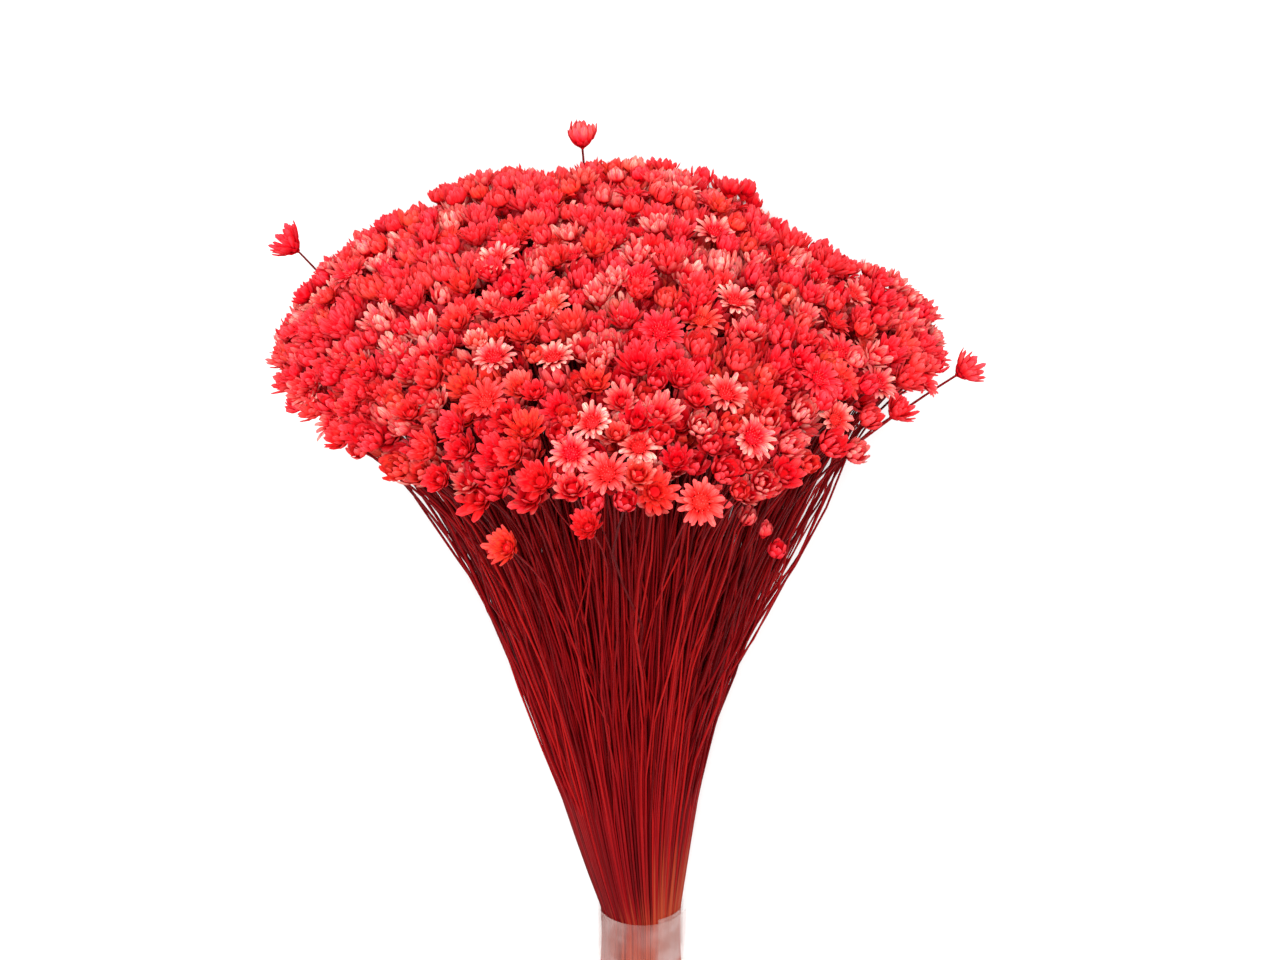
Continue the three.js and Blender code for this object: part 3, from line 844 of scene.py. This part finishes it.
# The middle line of a stem, laid down and standing
def stemPath(flower):
    number, root = flower["number"], flower["root"]
    lowest = -bunch["tailLength"] + stemLook["shorter"] * draw(number, 31) ** 2
    heights = between(lowest, 0, np.array(tailSteps))
    below = np.interp(heights, [-bunch["tailLength"], -bunch["waistDepth"], 0],
                      [bunch["tailFlare"], bunch["waistScale"], 1])
    tail = root * below[:, None] + np.stack([0 * heights, 0 * heights, heights], 1)
    foot = standingPoints(flower["foot"], np.array(footSteps) * flower["footEnd"])
    t = np.array(stemSteps)
    upper = standingPoints(flower["stem"], t)
    stray = stemLook["stray"] if draw(number, 45) > 1 - stemLook["strayShare"] else 1
    wave = stemLook["wave"] * stray * np.sin(math.pi * t)
    for n, way in enumerate(np.eye(3)[:2]):
        turns = between(*stemLook["waveTurns"], draw(number, 33 + n))
        turn = 2 * math.pi * (t * turns + draw(number, 35 + n))
        share = between(*stemLook["waveShare"], draw(number, 37 + n))
        upper += (wave * np.sin(turn) * share)[:, None] * way
    side = flower["end"][0] / bunch["domeRadius"]
    bow = between(*stemLook["bow"], side > 0) * between(*stemLook["bowShare"], draw(number, 46))
    if flower.get("lone"):
        bow = stemLook["loneBow"]
    upper[:, 0] += bow * side * abs(side) * np.sin(math.pi * t ** 1.3) ** 2
    points = np.concatenate([tail, foot, upper])
    steps = np.concatenate([np.zeros(len(tail) + len(foot)), t])
    return layDown(points, steps) + offset, points


def addStem(shape, flower):
    number, sides = flower["number"], stemLook["sides"]
    path, standing = stemPath(flower)
    ways = np.gradient(path, axis=0)
    ways /= np.linalg.norm(ways, axis=1)[:, None]
    across = np.cross([1, 0, 0], ways)
    across /= np.linalg.norm(across, axis=1)[:, None]
    other = np.cross(ways, across)
    count = len(path)
    run = np.concatenate([[0], np.cumsum(np.linalg.norm(np.diff(path, axis=0), axis=1))])
    radius = between(stemLook["radius"], stemLook["thinner"], run / run[-1])
    radius = radius * between(*stemLook["thickness"], draw(number, 39))
    turn = 2 * math.pi * (np.arange(sides) / sides + draw(number, 40))
    corners = (path[:, None] + (radius[:, None] * np.cos(turn))[..., None] * across[:, None]
               + (radius[:, None] * np.sin(turn))[..., None] * other[:, None]).reshape(-1, 3)
    faces = [list(range(sides))[::-1], [(count - 1) * sides + n for n in range(sides)]]
    for ring in range(count - 1):
        for side in range(sides):
            a, b = ring * sides + side, ring * sides + (side + 1) % sides
            faces.append([a, b, b + sides, a + sides])
    spots = np.zeros((count, sides, 3))
    spots[:, :, 0] = np.cos(turn)
    spots[:, :, 1] = run[:, None] / 10
    spots[:, :, 2] = draw(number, 41)
    # How bright (each stem's own tone, with painted shade below its head and low down on the left), how
    # bare of dye, and how fresh the cut is
    dyes = np.zeros((count, sides, 3))
    # Painted shade over the length below the head
    shade = between(stemLook["darkest"], 1, np.clip((run[-1] - run) / stemLook["shaded"], 0, 1))
    tuft = draw(round(flower["turn"] * stemLook["tufts"]) + round(flower["share"] * 9) * 40, 44)
    tone = between(draw(number, 42) ** 1.4, tuft, stemLook["tuftShare"])
    dyes[:, :, 0] = (tone * stemLook["brightness"] * shade)[:, None]
    rightness = np.clip(0.5 + standing[:, 0] / (2 * bunch["tieRadius"]), 0, 1)
    high = np.clip(standing[:, 2] / stemLook["bareHeight"], -1, 1)
    (least, more), (leastBelow, moreBelow) = stemLook["bareAbove"], stemLook["bareBelow"]
    bare = np.where(high > 0, (1 - high) * (least + more * rightness),
                    leastBelow + moreBelow * rightness - high)
    dyes[:, :, 1] = (bare * between(*stemLook["bareShare"], draw(number, 43)))[:, None]
    # Painted shade low down on the left
    low = np.clip(1 - standing[:, 2] / stemLook["bareHeight"], 0, 1)
    dyes[:, :, 0] *= (1 - stemLook["footShade"] * low * (1 - rightness))[:, None]
    dyes[0, :, 2] = stemLook["cutPale"]
    rims = np.zeros((count, sides), bool)
    rims[[0, -1]] = True
    shape.add(corners, faces, rims.ravel(), spots.reshape(-1, 3), dyes.reshape(-1, 3))


giveDyes()
triangles = 0


def countTriangles(piece):
    return sum(len(face.vertices) - 2 for face in piece.data.polygons)


for n, sprig in enumerate(sprigs):
    node = "sprig_" + str(n + 1).zfill(2)
    stems, heads = Shape(), Shape()
    for flower in sprig["flowers"]:
        addStem(stems, flower)
        addHead(heads, flower)
    for ending, shape, material, slot in (("stems", stems, stemFinish, "stem"),
                                          ("flowers", heads, petalFinish, "flower")):
        piece = makePiece(node + "_" + ending, shape, material)
        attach(piece, "root")
        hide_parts(node)
        triangles += countTriangles(piece)
print("sprigs made:", len(sprigs), "triangles:", triangles)


# The tape: one strip wound round the stems and a little way over itself, with a loose end
tape = dict(
    start=11.28, rise=0.18, thick=0.08, turns=1.16, drift=2.4, begin=-1.15,
    sides=96, rows=9,
    lift=0.7, looseSteps=7,  # how far the loose end stands off, and how long it is
    ripples=[(0.05, 23, 2), (0.04, 37, 5)],  # height in mm, how many, and how slanted
)


def makeTape():
    steps = int(tape["sides"] * tape["turns"])
    shape = Shape()
    rows = tape["rows"]
    corners, spots, dyes = [], [], []
    for n in range(steps + 1):
        wound = n / tape["sides"]
        turn = tape["begin"] + 2 * math.pi * wound
        loose = max(0, (n - steps + tape["looseSteps"]) / tape["looseSteps"]) ** 2 * tape["lift"]
        for side in (1, 0):
            for row in (range(rows) if side else reversed(range(rows))):
                share = row / (rows - 1)
                z = -bunch["tapeWidth"] * share - tape["drift"] * (wound - 1) * 0.5
                ripple = sum(height * math.sin(turn * count + slant * share)
                             for height, count, slant in tape["ripples"])
                radius = (tape["start"] + tape["rise"] * wound + side * tape["thick"]
                          + ripple * (0.4 + 0.6 * share) + loose * (1 - share) ** 0.5)
                corners.append((radius * math.cos(turn), radius * math.sin(turn), z))
                spots.append((share, wound, side))
                # Painted highlight: bands round the wrap, set about the side that faces the view
                dyes.append((0.5 - 0.5 * math.cos(4 * (turn + math.pi / 2) + 0.5 * share), 0, 0))
    around = 2 * rows
    faces = [list(range(around)), [steps * around + k for k in reversed(range(around))]]
    for n in range(steps):
        for k in range(around):
            a, b = n * around + k, n * around + (k + 1) % around
            faces.append([a, a + around, b + around, b])
    laid = layDown(np.array(corners), 0) + offset
    rims = [k in (0, rows - 1, rows, 2 * rows - 1) for _ in range(steps + 1) for k in range(around)]
    shape.add(laid, faces, np.array(rims), spots, dyes)
    return makePiece("tape_wrap", shape, tapeFinish)


tapeWrap = makeTape()
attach(tapeWrap, "root")
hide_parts("tape_band")
print("tape made")


# Floor
floorLook = dict(half=2.5, grain=30, tints=((0.86, 0.855, 0.85, 1), (0.89, 0.885, 0.88, 1)), roughness=0.7)


def makeFloor():
    mesh = bpy.data.meshes.new("floor")
    half = floorLook["half"]
    corners = [(-half, -half, 0), (half, -half, 0), (half, half, 0), (-half, half, 0)]
    mesh.from_pydata(corners, [], [(0, 1, 2, 3)])
    floor = bpy.data.objects.new("floor", mesh)
    scene.collection.objects.link(floor)
    nodes = Nodes("pale floor")
    where = nodes.add("ShaderNodeTexCoord").outputs["Object"]
    colour = nodes.mix(nodes.noise(where, floorLook["grain"], 2), *floorLook["tints"])
    mesh.materials.append(nodes.finish(colour, Roughness=floorLook["roughness"]))


makeFloor()
print("scene done")
